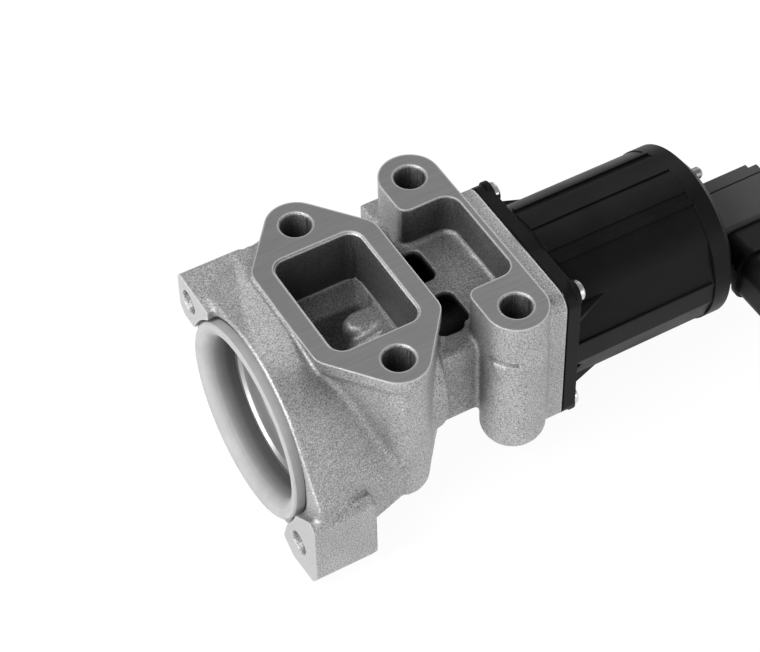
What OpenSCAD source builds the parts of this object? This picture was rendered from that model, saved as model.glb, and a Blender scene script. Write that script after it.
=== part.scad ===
// Exhaust gas recirculation valve with an in-line electric actuator.
// The origin is the centre of the mouth, level with the mouth ring's front face.
// X runs along the valve axis from the mouth to the actuator, Z points up,
// out of the two machined bolt faces, and Y points away from the viewer.
// All sizes are in millimetres.

/* [Bolt pattern] */
// Distance from the mouth face to the first pair of bolts
pair_x = 36.5; // [34:0.5:40]
// Spacing of the two pairs along the valve axis
bolt_dx = 37; // [36:0.5:42]
// Spacing of the bolts of one pair
bolt_dy = 57.5; // [55:0.5:62]
// Offset of the pattern's centre from the valve axis
bolt_y = 6; // [4:0.5:8]
// Radius of a clearance hole for an 8 mm bolt
bolt_r = 4.5; // [4.2:0.1:5]
// Width of the chamfer round each bolt hole
hole_chamfer = 0.5; // [0.3:0.1:1]
// Radius of the round boss at each bolt
boss_r = 8.9; // [8:0.1:10]
// Height of the machined bolt faces above the valve axis
face_z = 28; // [26:0.5:32]
// Depth of the bolt columns below the valve axis
column_drop = 23; // [20:0.5:26]

/* [Port flange] */
// Width of the port flange along the valve axis
flange_w = 39.2; // [36:0.2:42]
// Length of the flange's straight sides
flange_flat = 33; // [28:0.5:36]
// Radius of the flange's side corners
flange_corner = 6; // [4:0.5:8]
// Thickness of the flange plate
flange_t = 4.5; // [3:0.5:7]
// Height of the flange's face above the shoulder beside it
flange_step = 1.4; // [0.8:0.1:2]
// Step from the flange's rim in to the tower's wall
tower_inset = 0.7; // [0.3:0.1:1.5]
// Width of the gas port along the valve axis
port_w = 26.8; // [22:0.2:29]
// Length of the gas port across the valve axis
port_l = 37.6; // [32:0.2:40]
// Corner radius of the gas port
port_corner = 4; // [2:0.5:6]
// Width of the port's chamfered edge
port_chamfer = 0.6; // [0.3:0.1:1]
// Height at which the port meets the cast chamber
port_floor = 9; // [6:0.5:12]

/* [Mouth] */
// Outer radius of the steel mouth ring
ring_r = 29.6; // [28:0.1:31]
// Radius of the ring's shank, pressed into the casting
shank_r = 26; // [25.4:0.1:27]
// Radius of the throat behind the bell
throat_r = 24.4; // [23.5:0.1:25]
// Radius of the passage through the seat
seat_r = 20; // [18:0.2:21]
// Depth of the mouth ring along the axis
ring_l = 13.4; // [13.2:0.1:14]
// Distance that the ring stands proud of the casting's recessed face
ring_proud = 2.6; // [2:0.1:3.5]
// Radius of the casting behind the mouth
rim_r = 32.2; // [31:0.1:34]
// Radius of the barrel behind the rim
barrel_r = 23.8; // [23.4:0.1:26]
// Distance from the axis to each lug's threaded hole
lug_pitch = 36.5; // [35:0.5:39]
// Angle of the lug holes above the horizontal plane
lug_angle = 34.5; // [30:0.5:38]
// Wall radius of the threads for 8 mm bolts in the lugs
lug_hole_r = 3.4; // [3.3:0.1:3.6]
// Depth of the threads in the lugs
lug_hole_l = 15; // [12:1:17]
// Depth of the lug blocks behind the mouth
lug_l = 19.5; // [17:0.5:22]

/* [Rear flange and neck] */
// Radius of the two bosses of the rear flange
rear_r = 9.2; // [8.5:0.1:10]
// Width of the open pocket across the valve axis
pocket_l = 34.8; // [30:0.2:38]
// Thickness of the thin wall behind the pocket
pocket_wall = 2; // [1.5:0.1:3]
// Height of the neck's flat top above the valve axis
neck_z = 13.8; // [12:0.2:16]
// Depth of the neck's underside below the valve axis
neck_drop = 15.5; // [13:0.5:18]
// Near side of the neck, measured from the valve axis
neck_near = 18.5; // [16:0.5:20]
// Far side of the neck, measured from the valve axis
neck_far = 28; // [24:0.5:30]
// Thickness of the neck's walls
neck_wall = 3.4; // [3:0.1:5]
// Length of the cooling slots along the valve axis
slot_l = 11.4; // [8:0.2:13]
// Width of each cooling slot
slot_w = 12.4; // [9:0.2:14]

/* [Plate and actuator flange] */
// Width of the plate across the valve axis
plate_w = 53; // [52.4:0.2:56]
// Height of the plate
plate_h = 51.4; // [51:0.2:54]
// Thickness of the plate
plate_t = 5.4; // [4:0.2:7]
// Corner radius of the plate and the actuator flange
plate_corner = 5; // [3:0.5:7]
// Thickness of the actuator gasket
gasket_t = 0.6; // [0.4:0.1:1]
// Thickness of the actuator flange
act_flange_t = 4; // [3:0.2:6]
// Spacing of the actuator screws across the valve axis
screw_dy = 44.4; // [43.6:0.2:45]
// Spacing of the actuator screws up and down
screw_dz = 44.4; // [43:0.2:45]

/* [Actuator] */
// Radius of the moulded actuator body
act_r = 26.3; // [25.5:0.1:27]
// Wall thickness of the moulded actuator body
act_wall = 2.6; // [2:0.1:3.5]
// Length of the actuator body behind its flange
act_l = 47; // [44:0.5:50]
// Radius of the end band
band_r = 26.6; // [26.5:0.1:28]
// Length of the end band
band_l = 5.3; // [4:0.1:7]
// Length of the sloped end behind the band
slope_l = 3; // [2:0.1:4]
// Depth by which the sloped end narrows
slope_r = 4; // [2:0.1:5]

/* [Valve and drive] */
// Travel of the valve from closed to fully open
lift = 6; // [4:0.5:7]
// Radius of the valve disc
disc_r = 22.8; // [21.5:0.1:23.4]
// Radius of the valve shaft
shaft_r = 4; // [3:0.1:4.5]
// Radial running clearance of shafts in their guides
running = 0.04; // [0.02:0.01:0.08]
// Mean radius of the return spring
spring_r = 12.2; // [11:0.2:13]
// Radius of the return spring's wire
wire_r = 0.9; // [0.7:0.1:1]
// Number of turns of the return spring
spring_turns = 4.5; // [3.5:0.5:5]
// Outer radius of the stator
stator_r = 22.6; // [20:0.2:23]
// Outer radius of the rotor magnet
rotor_r = 13.6; // [11:0.2:14]

/* [Connector] */
// Width of the terminal cover across the valve axis
cover_w = 18.8; // [16:0.2:20]
// Height of the terminal cover's top above the valve axis
cover_z = 2.5; // [0:0.5:5]
// Height of the terminal cover
cover_h = 19; // [17:0.5:21]
// Length of the terminal cover behind the end cap
cover_l = 31; // [28:0.5:34]
// Length of the connector hood
hood_l = 24; // [20:0.5:28]
// Wall thickness of the connector hood
hood_wall = 1.8; // [1.4:0.1:2.4]

/* [Hidden] */
$fn = 96;
eps = 0.01;
over = 1;
pair2_x = pair_x + bolt_dx;
hole_y1 = bolt_y + bolt_dy / 2;
hole_y2 = bolt_y - bolt_dy / 2;
rear_x0 = pair2_x - rear_r;
rear_x1 = pair2_x + rear_r;
plate_x = rear_x1 - 0.3;
gasket_x = plate_x + plate_t;
act_x = gasket_x + gasket_t;
body_x = act_x + act_flange_t;
body_end = body_x + act_l;
band_x = body_end;
slope_x = band_x + band_l;
cap_end = slope_x + slope_l;
lug_y = lug_pitch * cos(lug_angle);
lug_z = lug_pitch * sin(lug_angle);
recess_x = ring_proud;
seat_x = 10.2;
seat_l = 2.8;
seat_or = 24.2;
step_x = 9.6;
disc_x = 9.2;
disc_rim = 1.4;
chamber_r = 19.6;
chamber_y = 3.2;
chamber_r2 = 18.4;
chamber_end = 52;
trough_r = 15.3;
ledge = 0.6;
lobe_r = 4.5;
lobe_x = 41.2;
lobe_y = 9.6;
lobe_z = 5.8;
shoulder_end = 22;
near_side = 38.8;
far_lug_y = 36.2;
lug_top = 27.6;
tower_x = pair_x - flange_w / 2 + 0.2;
foot_r = 2.6;
shelf_z = 13;
tab_x = 62.6;
tab_y = 45.4;
slot_x = pair_x + 19.8;
guide_r1 = 9.4;
guide_r2 = 7.8;
guide_x = 36;
bush_r = 5.8;
bush_x = guide_x + 1;
seal_x = 72.6;
seal_l = 6;
seal_or = 7.2;
bush_l = seal_x - bush_x - 8;
spring_floor = plate_x + 0.8;
shaft_gap = 1.2;
tube_r = 7.6;
spring_bore = 15.4;
washer_t = 1.2;
shaft_end = 110.6;
retainer_x = shaft_end - 5.4;
retainer_r = 14.6;
bulkhead_x = 112;
bulkhead_t = 3;
sleeve_r = 2.7;
screw_r = 2.1;
head_r = 3.1;
rod_r = 4.5;
rod_x = shaft_end + 0.1;
rod_l = 27;
guide_t = 2.6;
rod_flat = 0.8;
nut_r = 6.4;
bearing_r = 11;
bearing_t = 6;
cavity_r = act_r - act_wall;
stator_x = 121.5;
stator_l = 14;
coil_pos = 17.8;
magnet_l = 12;
board_x = 138.4;
board_t = 1.6;
board_r = 22.2;
cover_x0 = cap_end;
cover_x1 = cap_end + cover_l;
cover_y0 = -cover_w / 2 - 0.5;
hood_w = 23;
hood_h = 17;
hood_x = cap_end + 5 + hood_w / 2;
hood_z = cover_z - 1.6 - hood_h / 2;
hood_r = 5;
cap_screw_z = 20.6;
pin_n = 5;
pin_pitch = 3.5;

// Circle list of the port flange, counterclockwise from the far boss
flange_ring = [
    [pair_x, hole_y1, boss_r],
    [pair_x - flange_w / 2 + flange_corner, bolt_y + flange_flat / 2, flange_corner],
    [pair_x - flange_w / 2 + flange_corner, bolt_y - flange_flat / 2, flange_corner],
    [pair_x, hole_y2, boss_r],
    [pair_x + flange_w / 2 - flange_corner, bolt_y - flange_flat / 2, flange_corner],
    [pair_x + flange_w / 2 - flange_corner, bolt_y + flange_flat / 2, flange_corner]
];

// Unit normal of the outer tangent from circle a to circle b
function tan_n(a, b) =
    let (dx = b[0] - a[0], dy = b[1] - a[1], d = sqrt(dx * dx + dy * dy),
        k = (a[2] - b[2]) / d, w = sqrt(1 - k * k))
    [dx / d * k + dy / d * w, dy / d * k - dx / d * w];

// Tangent points of a closed belt round a ring of circles
function belt_points(c) = [for (i = [0:len(c) - 1])
    let (a = c[i], b = c[(i + 1) % len(c)], n = tan_n(a, b))
    for (p = [a, b]) [p[0] + p[2] * n[0], p[1] + p[2] * n[1]]];

module belt(c) {
    polygon(belt_points(c));
    for (p = c) translate([p[0], p[1]]) circle(r = p[2]);
}

function grow(c, g) = [for (p = c) [p[0], p[1], p[2] + g]];

module rounded(w, h, r) {
    square([w - 2 * r, h], center = true);
    square([w, h - 2 * r], center = true);
    for (sx = [-1, 1]) for (sy = [-1, 1])
        translate([sx * (w / 2 - r), sy * (h / 2 - r)]) circle(r = r);
}

module xcyl(r, x0, x1, y = 0, z = 0) {
    translate([x0, y, z]) rotate([0, 90, 0]) cylinder(r = r, h = x1 - x0);
}

module xtube(ro, ri, x0, x1, y = 0, z = 0) {
    difference() {
        xcyl(ro, x0, x1, y, z);
        xcyl(ri, x0 - over, x1 + over, y, z);
    }
}

module xrev(points) {
    rotate([0, 90, 0]) rotate_extrude() polygon(points);
}

module xrev_at(y, z, points) {
    translate([0, y, z]) xrev(points);
}

module xext(x0, x1) {
    translate([x0, 0, 0]) rotate([90, 0, 90]) linear_extrude(height = x1 - x0) children();
}

module zext(z0, z1) {
    translate([0, 0, z0]) linear_extrude(height = z1 - z0) children();
}

// Housing

module lug_block(side, x0) {
    y1 = side > 0 ? far_lug_y : 40;
    xext(x0, lug_l) polygon(side > 0 ?
        [[18, 20], [18, lug_top], [y1 - 1.5, lug_top], [y1, lug_top - 1.4], [y1, 14.5],
            [y1 - 2.5, 12], [25, 12]] :
        [[-26, -12], [-37, -3.6], [-y1, -5.5], [-y1, -26], [-37.5, -30.2], [-26, -31.6], [-20.5, -28]]);
}

// The shoulder runs in one sweep from the rim and the two lugs back to the port tower
module shoulder() {
    bit = 1;
    hull() {
        xcyl(rim_r, recess_x, recess_x + bit);
        xcyl(barrel_r, shoulder_end, shoulder_end + bit);
        // Far side, level with the upper lug
        for (x = [recess_x, lug_l]) translate([x, far_lug_y - 3 - bit, 14]) cube([bit, bit, 12]);
        translate([lug_l + 6, far_lug_y - bit, lug_top - 4]) cube([bit, bit, 4]);
        // Near side, a steep web over an upright side that runs on into the column
        translate([recess_x, -near_side, -22]) cube([bit, bit, 22.3]);
        translate([pair_x - 4, hole_y2 - boss_r + 2, -22]) cube([bit, bit, 13]);
        // Foot of the port flange
        translate([tower_x, -10, 23.4]) cube([bit, 34, bit]);
    }
}

// What slopes down from the rim and leaves the port flange standing proud
module face_clearance() {
    z = face_z - flange_step;
    translate([0, 60, 0]) rotate([90, 0, 0]) linear_extrude(height = 120)
        polygon([[recess_x + 3, rim_r - 0.3], [tower_x, z], [tower_x + 14, z - 0.5],
            [tower_x + 14, rim_r + 1], [recess_x + 3, rim_r + 1]]);
}

module rear_outline(g = 0) {
    belt([[pair2_x, hole_y1, rear_r + g], [pair2_x, hole_y2, rear_r + g]]);
}

// The open pocket in the rear flange, with rounded mouth corners
module pocket_outline() {
    px1 = rear_x1 - pocket_wall;
    cy = bolt_y - 0.1;
    r = 4.5;
    lip = 3;
    translate([px1 - 20, cy - pocket_l / 2 + r]) square([20, pocket_l - 2 * r]);
    translate([px1 - 20, cy - pocket_l / 2]) square([20 - r, pocket_l]);
    for (s = [-1, 1]) translate([px1 - r, cy + s * (pocket_l / 2 - r)]) circle(r = r);
    for (s = [-1, 1]) difference() {
        translate([rear_x0 - over, cy + s * (pocket_l / 2 + lip / 2) - lip / 2])
            square([lip + over, lip]);
        translate([rear_x0 + lip, cy + s * (pocket_l / 2 + lip)]) circle(r = lip);
    }
}

module slot_outline(cy, notch) {
    translate([slot_x + slot_l / 2, cy]) rounded(slot_l, slot_w, 2.6);
    if (notch) translate([slot_x + 4.3, cy - slot_w / 2 + 1]) rounded(8.6, 6, 2.4);
}

module neck() {
    w = neck_near + neck_far;
    cy = (neck_far - neck_near) / 2;
    cz = (neck_z - neck_drop) / 2;
    xext(pair_x + 8, plate_x + over) translate([cy, cz]) rounded(w, neck_z + neck_drop, 3);
}

module neck_hollow() {
    y0 = -neck_near + neck_wall;
    y1 = neck_far - neck_wall;
    z0 = -neck_drop + neck_wall;
    z1 = neck_z - neck_wall;
    difference() {
        xext(chamber_end + 3.5, 71.5) translate([(y0 + y1) / 2, (z0 + z1) / 2])
            rounded(y1 - y0, z1 - z0, 2);
        xcyl(tube_r, chamber_end, 73);
    }
}

module housing_solid() {
    // Rim, shoulder and barrel
    difference() {
        union() {
            shoulder();
            lug_block(1, 0);
        }
        face_clearance();
    }
    xcyl(barrel_r, shoulder_end, chamber_end);
    lug_block(-1, 0);
    // Port tower and its flange
    zext(-column_drop + foot_r, face_z - flange_t + eps) belt(grow(flange_ring, -tower_inset));
    zext(-column_drop, face_z - flange_t) belt(grow(flange_ring, -tower_inset - foot_r - 0.2));
    for (y = [hole_y1, hole_y2]) column(pair_x, y, boss_r - tower_inset, -column_drop, 0);
    zext(face_z - flange_t, face_z) belt(flange_ring);
    // Neck, rear flange and its columns
    neck();
    difference() {
        zext(neck_z - 2, face_z) rear_outline();
        zext(neck_z, face_z + over) pocket_outline();
    }
    for (s = [0, 1]) column(pair2_x, s > 0 ? hole_y1 : hole_y2, rear_r + 0.3 + s * 0.6,
        -column_drop, shelf_z);
    translate([pair2_x - 6, hole_y2, -column_drop + foot_r])
        cube([15.2, bolt_dy, neck_z + column_drop - foot_r - 2]);
    // Tab beside the far column and wedge on the near one
    translate([tab_x, hole_y1 + 2, shelf_z - 8]) cube([pair2_x - tab_x, tab_y - hole_y1 - 2, 8]);
    column_wedge();
    // Plate and its gussets
    xext(plate_x, gasket_x) translate([0, -0.1]) rounded(plate_w, plate_h, plate_corner);
    zext(-column_drop + 3, 17) polygon([[pair2_x, hole_y2 - rear_r], [plate_x + 2, -26],
        [plate_x + 2, -18], [pair2_x, -18]]);
}

// An upright bolt column with its foot taken in by two bevels
module column(x, y, r, z0, z1) {
    translate([x, y, 0]) rotate_extrude() {
        polygon([[0, z0], [r - foot_r, z0], [r - foot_r * 0.3, z0 + foot_r * 0.3],
            [r, z0 + foot_r], [r, z1], [0, z1]]);
    }
}

// A pointed wedge under the near rear boss; each corner has an angle, a distance and a height
module column_wedge() {
    bit = 0.2;
    corners = [[200, rear_r + 1.1, shelf_z], [222, rear_r + 1.1, shelf_z],
        [252, rear_r + 1, shelf_z], [217, rear_r + 0.2, shelf_z - 8.5],
        [225, bolt_r + 1, shelf_z - 8.5], [225, bolt_r + 1, shelf_z]];
    hull() for (c = corners)
        translate([pair2_x + c[1] * cos(c[0]), hole_y2 + c[1] * sin(c[0]), c[2] - bit])
            cube([bit, bit, bit]);
}

module bolt_hole(x, y) {
    translate([x, y, -column_drop - over]) cylinder(r = bolt_r, h = column_drop + face_z + 2 * over);
    translate([x, y, face_z - hole_chamfer])
        cylinder(r1 = bolt_r, r2 = bolt_r + hole_chamfer + 0.1, h = hole_chamfer + 0.1);
}

module lug_hole(s) {
    xcyl(lug_hole_r, -over, lug_hole_l, s * lug_y, s * lug_z);
    translate([-eps, s * lug_y, s * lug_z]) rotate([0, 90, 0])
        cylinder(r1 = lug_hole_r + hole_chamfer, r2 = lug_hole_r, h = hole_chamfer);
}

module port_cut() {
    zext(port_floor, face_z + over) translate([pair_x, bolt_y]) rounded(port_w, port_l, port_corner);
    zext(face_z - port_chamfer, face_z + over) translate([pair_x, bolt_y])
        rounded(port_w + 2 * port_chamfer, port_l + 2 * port_chamfer, port_corner + port_chamfer);
}

// The cast gas chamber between the seat and the port
module chamber_cut() {
    difference() {
        union() {
            xcyl(chamber_r, ring_l - eps, 28);
            xcyl(chamber_r2, 27, chamber_end - 3, chamber_y);
            // Trough under the port, set in by a small ledge
            xcyl(trough_r, pair_x - port_w / 2 + ledge, pair_x + port_w / 2 - ledge,
                bolt_y + port_l / 2 - ledge - trough_r, port_floor);
        }
        // Guide boss round the shaft, with a rounded lobe beside it
        xrev([[0, guide_x], [guide_r2 - 1, guide_x], [guide_r2, guide_x + 1],
            [guide_r1, chamber_end - 8], [guide_r1 + 3.5, chamber_end], [0, chamber_end]]);
        xrev_at(lobe_y, lobe_z, [[0, lobe_x - 4], [1.6, lobe_x - 3.8], [3.3, lobe_x - 2.6],
            [lobe_r, lobe_x], [lobe_r + 0.3, chamber_end], [0, chamber_end]]);
    }
}

module housing() {
    color([0.74, 0.75, 0.76]) difference() {
        housing_solid();
        for (x = [pair_x, pair2_x]) for (y = [hole_y1, hole_y2]) bolt_hole(x, y);
        for (s = [-1, 1]) lug_hole(s);
        port_cut();
        chamber_cut();
        // Mouth ring bore with its shoulder
        xcyl(shank_r, -over, step_x);
        xcyl(seat_or, -over, ring_l);
        xcyl(ring_r + 0.9, -over, recess_x + 2);
        // Bores on the valve axis
        xcyl(bush_r, guide_x - over, seal_x + eps);
        xcyl(seal_or, seal_x, seal_x + seal_l);
        xcyl(shaft_r + shaft_gap, seal_x, spring_floor + eps);
        xcyl(spring_bore, spring_floor, gasket_x + over);
        neck_hollow();
        zext(neck_z - neck_wall - 0.2, neck_z + over) {
            slot_outline(bolt_y + 8.9, false);
            slot_outline(bolt_y - 9.4, true);
        }
        // Holes for the actuator screws
        for (y = [-1, 1]) for (z = [-1, 1])
            xcyl(screw_r, plate_x + 0.4, gasket_x + over, y * screw_dy / 2, z * screw_dz / 2);
    }
}

// Pieces in the mouth

module mouth_ring() {
    bell = 4.2;
    color([0.72, 0.73, 0.74]) difference() {
        xrev([[throat_r, 0], [ring_r - 0.5, 0], [ring_r, 0.5], [ring_r, recess_x + 0.6],
            [shank_r, recess_x + 0.6], [shank_r, step_x], [seat_or, step_x], [seat_or, ring_l],
            [seat_r, ring_l], [seat_r, seat_x + seat_l], [disc_r + 0.3, seat_x],
            [throat_r - 0.4, seat_x - 0.6], [throat_r, bell]]);
        // Rounded bell at the mouth
        rotate([0, 90, 0]) rotate_extrude() difference() {
            translate([throat_r - over, -over]) square([bell + over, bell + over]);
            translate([throat_r + bell, bell]) circle(r = bell);
        }
    }
}

module mouth_seal() {
    color([0.09, 0.09, 0.1]) xtube(ring_r + 0.6, shank_r + 0.05, recess_x + 0.62, recess_x + 2);
}

// Valve

module valve_disc() {
    color([0.66, 0.66, 0.67]) difference() {
        xrev([[0, disc_x + 1.6], [8, disc_x + 1.6], [10, disc_x + 1], [disc_r - 2.4, disc_x + 1],
            [disc_r - 1.6, disc_x], [disc_r - 0.3, disc_x], [disc_r, disc_x + 0.3],
            [disc_r, seat_x - 0.1], [disc_r - 2.6, disc_x + 3.4], [9, disc_x + 6],
            [6.5, disc_x + 9], [0, disc_x + 9]]);
        xcyl(shaft_r, disc_x - over, disc_x + 10);
    }
}

module valve_shaft() {
    color([0.7, 0.71, 0.72]) difference() {
        xcyl(shaft_r, disc_x + 0.8, shaft_end);
        // Groove for the retainer clip
        difference() {
            xcyl(shaft_r + over, retainer_x + 2.4, retainer_x + 3.6);
            xcyl(shaft_r - 0.6, retainer_x, retainer_x + 6);
        }
    }
}

module disc_collar() {
    color([0.6, 0.6, 0.62]) {
        xrev([[shaft_r, disc_x + 0.2], [shaft_r + 1.4, disc_x + 0.2], [shaft_r + 2, disc_x + 0.8],
            [shaft_r + 2, disc_x + 1.6], [shaft_r, disc_x + 1.6]]);
    }
}

module guide_bush() {
    color([0.45, 0.36, 0.22]) difference() {
        xcyl(bush_r, bush_x, bush_x + bush_l);
        xcyl(shaft_r + running, bush_x - over, bush_x + bush_l + over);
    }
}

module shaft_seal() {
    color([0.12, 0.12, 0.12]) rotate([0, 90, 0]) rotate_extrude() polygon([
        [shaft_r + 0.05, seal_x + 1.6], [shaft_r + 0.05, seal_x + 2.4], [5.4, seal_x + 5],
        [seal_or - 1, seal_x + 5], [seal_or - 1, seal_x + seal_l], [seal_or, seal_x + seal_l],
        [seal_or, seal_x], [5.2, seal_x], [5.2, seal_x + 0.8]]);
}

module spring_seat() {
    color([0.62, 0.62, 0.64]) difference() {
        xcyl(spring_bore - 0.1, spring_floor, spring_floor + washer_t);
        xcyl(shaft_r + shaft_gap, spring_floor - over, spring_floor + 3);
    }
}

// A closed spring wire swept along a helix round the X axis
module coil(rm, rw, x0, x1, turns, n = 8, seg = 20) {
    steps = turns * seg;
    pts = [for (i = [0:steps]) let (a = 360 * i / seg,
        x = x0 + (x1 - x0) * i / steps)
        for (j = [0:n - 1]) let (b = 360 * j / n, r = rm + rw * cos(b))
            [x + rw * sin(b), r * cos(a), r * sin(a)]];
    sides = [for (i = [0:steps - 1]) for (j = [0:n - 1])
        let (a = i * n + j, b = i * n + (j + 1) % n)
        for (t = [[a, b, a + n], [b, b + n, a + n]]) t];
    first = [for (j = [1:n - 2]) [0, j + 1, j]];
    last = [for (j = [1:n - 2]) [steps * n, steps * n + j, steps * n + j + 1]];
    polyhedron(points = pts, faces = concat(sides, first, last));
}

module return_spring() {
    color([0.5, 0.51, 0.53]) coil(spring_r, wire_r, spring_floor + washer_t + wire_r + 0.02,
        retainer_x - wire_r - 0.02, spring_turns);
}

module spring_retainer() {
    color([0.6, 0.6, 0.62]) difference() {
        xrev([[0, retainer_x - 4], [8, retainer_x - 4], [9, retainer_x], [retainer_r, retainer_x],
            [retainer_r, retainer_x + 1.6], [7, retainer_x + 1.6], [6, retainer_x + 2.4],
            [0, retainer_x + 2.4]]);
        xcyl(shaft_r, retainer_x - 5, retainer_x + 4);
    }
}

module retainer_clip() {
    color([0.35, 0.35, 0.37]) difference() {
        xcyl(shaft_r + 2.4, retainer_x + 2.4, retainer_x + 3.5);
        xcyl(shaft_r - 0.6, retainer_x, retainer_x + 6);
        translate([retainer_x, -1.6, 0]) cube([6, 3.2, 12]);
    }
}

module actuator_gasket() {
    color([0.16, 0.16, 0.17]) difference() {
        xext(gasket_x, act_x) translate([0, -0.1])
            rounded(plate_w - 1, plate_h - 1, plate_corner - 0.5);
        xcyl(spring_bore + 1.2, gasket_x - over, act_x + over);
        for (y = [-1, 1]) for (z = [-1, 1])
            xcyl(2.8, gasket_x - over, act_x + over, y * screw_dy / 2, z * screw_dz / 2);
    }
}

// Actuator body

function ring_at(r, a) = [r * cos(a), r * sin(a)];

// Cross-section of the moulded body with its flats
module body_outline() {
    r = act_r;
    difference() {
        circle(r = r);
        for (m = [0, 1]) mirror([m, 0])
            for (f = [[143, 173], [173, 189], [189, 209], [209, 232]])
                polygon([ring_at(r, f[0]), ring_at(r + 4, f[0]), ring_at(r + 4, f[1]),
                    ring_at(r, f[1])]);
    }
}

// A raised strip along the body between two angles
module strip(a0, a1, h, x0, x1) {
    xext(x0, x1) intersection() {
        difference() {
            circle(r = act_r + h);
            circle(r = act_r - over);
        }
        polygon([[0, 0], ring_at(act_r + 9, a0), ring_at(act_r + 9, a1)]);
    }
}

module gusset(y, z, drop) {
    translate([body_x - eps, y, z]) rotate([90, 0, 0]) linear_extrude(height = 2, center = true)
        polygon([[0, 0], [9, 0], [0, -drop]]);
}

// Level rib between the flange and the side of the body
module side_rib(side, z) {
    translate([body_x - eps, 0, z]) linear_extrude(height = 1.6)
        polygon([[0, side * 16], [0, side * 26.2], [11, side * 21.5], [11, side * 16]]);
}

module actuator_housing() {
    color([0.05, 0.05, 0.055]) difference() {
        union() {
            xext(act_x, body_x) translate([0, -0.1]) rounded(plate_w, plate_h, plate_corner);
            xext(act_x, body_end) body_outline();
            for (m = [0, 1]) mirror([0, m, 0]) {
                strip(91, 108, 0.5, body_x + 0.6, body_end - 0.2);
                strip(113.7, 117.3, 0.7, body_x + 1.6, body_end + 0);
                strip(170.6, 172, 0.5, body_x, body_end - 1);
            }
            for (y = [-1, 1]) for (z = [-1, 1])
                xcyl(4, body_x - over, body_x + 0.4, y * screw_dy / 2, z * screw_dz / 2);
            for (y = [-1, 1]) {
                side_rib(y, 13.4);
                side_rib(y, -8);
                gusset(y * 21.6, -13.4, 5.4);
            }
        }
        // Front cavity for the return spring
        xcyl(spring_bore + 1.2, act_x - over, bulkhead_x);
        xcyl(nut_r + 0.6, bulkhead_x - over, bulkhead_x + bulkhead_t + over);
        // Bearing seat and motor cavity
        xcyl(bearing_r, bulkhead_x + bulkhead_t, bulkhead_x + bulkhead_t + bearing_t + eps);
        xcyl(cavity_r - 0.9, bulkhead_x + bulkhead_t + bearing_t, body_end + over);
        for (y = [-1, 1]) for (z = [-1, 1])
            xcyl(sleeve_r, act_x - over, body_x + 4, y * screw_dy / 2, z * screw_dz / 2);
    }
}

module screw_sleeves() {
    color([0.7, 0.69, 0.6]) for (y = [-1, 1]) for (z = [-1, 1])
        xtube(sleeve_r, sleeve_r - 0.5, act_x, body_x + 0.4, y * screw_dy / 2, z * screw_dz / 2);
}

// Pan head screws with a six-point recess
module actuator_screws() {
    color([0.78, 0.79, 0.8]) for (y = [-1, 1]) for (z = [-1, 1])
        translate([0, y * screw_dy / 2, z * screw_dz / 2]) difference() {
            union() {
                xcyl(screw_r, plate_x + 0.6, body_x + 0.5);
                xrev([[0, body_x + 0.42], [head_r, body_x + 0.42], [head_r, body_x + 1.8],
                    [head_r - 0.3, body_x + 2.3], [head_r - 1, body_x + 2.7], [0, body_x + 2.7]]);
            }
            translate([body_x + 1.2, 0, 0]) rotate([0, 90, 0]) cylinder(r = 1.7, h = 3, $fn = 6);
        }
}

// Motor

module front_bearing() {
    x0 = bulkhead_x + bulkhead_t;
    color([0.75, 0.75, 0.77]) rotate([0, 90, 0]) rotate_extrude() polygon([
        [nut_r + 1.5, x0], [nut_r + 1.5, x0 + 0.8], [bearing_r - 1.2, x0 + 0.8], [bearing_r - 1.2, x0],
        [bearing_r, x0], [bearing_r, x0 + bearing_t], [bearing_r - 1.2, x0 + bearing_t],
        [bearing_r - 1.2, x0 + bearing_t - 0.8], [nut_r + 1.5, x0 + bearing_t - 0.8],
        [nut_r + 1.5, x0 + bearing_t], [nut_r + running, x0 + bearing_t], [nut_r + running, x0]]);
}

module stator_core() {
    color([0.4, 0.41, 0.43]) difference() {
        xcyl(stator_r, stator_x, stator_x + stator_l);
        xcyl(rotor_r + 0.6, stator_x - over, stator_x + stator_l + over);
        for (i = [0:5]) rotate([60 * i + 30, 0, 0])
            translate([stator_x - over, 0, coil_pos]) rotate([0, 90, 0])
            cylinder(r = 3, h = stator_l + 2 * over);
    }
}

module stator_coils() {
    color([0.72, 0.38, 0.16]) for (i = [0:5]) rotate([60 * i + 30, 0, 0])
        translate([stator_x - 0.2, 0, coil_pos]) rotate([0, 90, 0])
        cylinder(r = 2.8, h = stator_l + 1.4);
}

module rotor_magnet() {
    color([0.2, 0.2, 0.22]) xtube(rotor_r, nut_r, stator_x + 1, stator_x + 1 + magnet_l);
}

module rotor_nut() {
    color([0.68, 0.66, 0.6]) difference() {
        xcyl(nut_r, bulkhead_x + bulkhead_t, board_x - 0.6);
        xcyl(rod_r + running, bulkhead_x, board_x + 4);
    }
}

module lead_screw() {
    color([0.7, 0.71, 0.73]) difference() {
        union() {
            xcyl(rod_r, rod_x + 1.6, rod_x + rod_l);
            xrev([[0, rod_x], [2.6, rod_x], [rod_r, rod_x + 1.6], [0, rod_x + 1.6]]);
        }
        // Flat that the guide keeps from turning
        translate([rod_x - over, -6, rod_r - rod_flat]) cube([16, 12, 3]);
    }
}

module rear_bearing() {
    color([0.75, 0.75, 0.77]) xtube(nut_r + 3, nut_r + running, board_x - 3.4, board_x - 0.8);
}

module wave_washer() {
    color([0.6, 0.6, 0.62]) xtube(nut_r + 2.6, nut_r + 0.6, board_x - 0.8, board_x - 0.4);
}

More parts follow.
